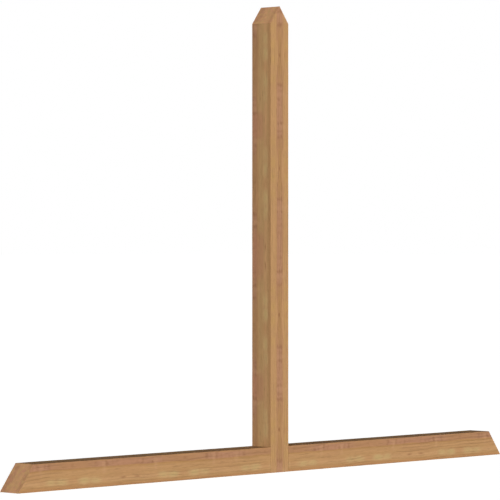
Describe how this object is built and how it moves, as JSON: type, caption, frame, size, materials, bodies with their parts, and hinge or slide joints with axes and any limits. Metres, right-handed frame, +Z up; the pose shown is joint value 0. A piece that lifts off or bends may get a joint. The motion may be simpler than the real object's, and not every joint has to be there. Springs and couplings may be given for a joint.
{
  "type": "timber gable bracket",
  "caption": "Timber gable bracket shaped as an inverted T: a king post between chord halves, its free ends sawn to the roof pitch, fixed under a gable's eaves as ornament.",
  "frame": {"origin": "midway across and midway deep, in the plane of the bracket's underside", "axes": "+Z up the king post, +X along the bottom chord to the right, +Y towards the wall"},
  "size_m": [2.7432, 0.1016, 1.8288],
  "materials": {
    "post_timber": "matte, planed and unsealed",
    "chord_timber": "matte, planed and unsealed"
  },
  "bodies": {
    "root": {"king_post": "post_timber", "left_chord": "chord_timber", "right_chord": "chord_timber"}
  },
  "joints": []
}
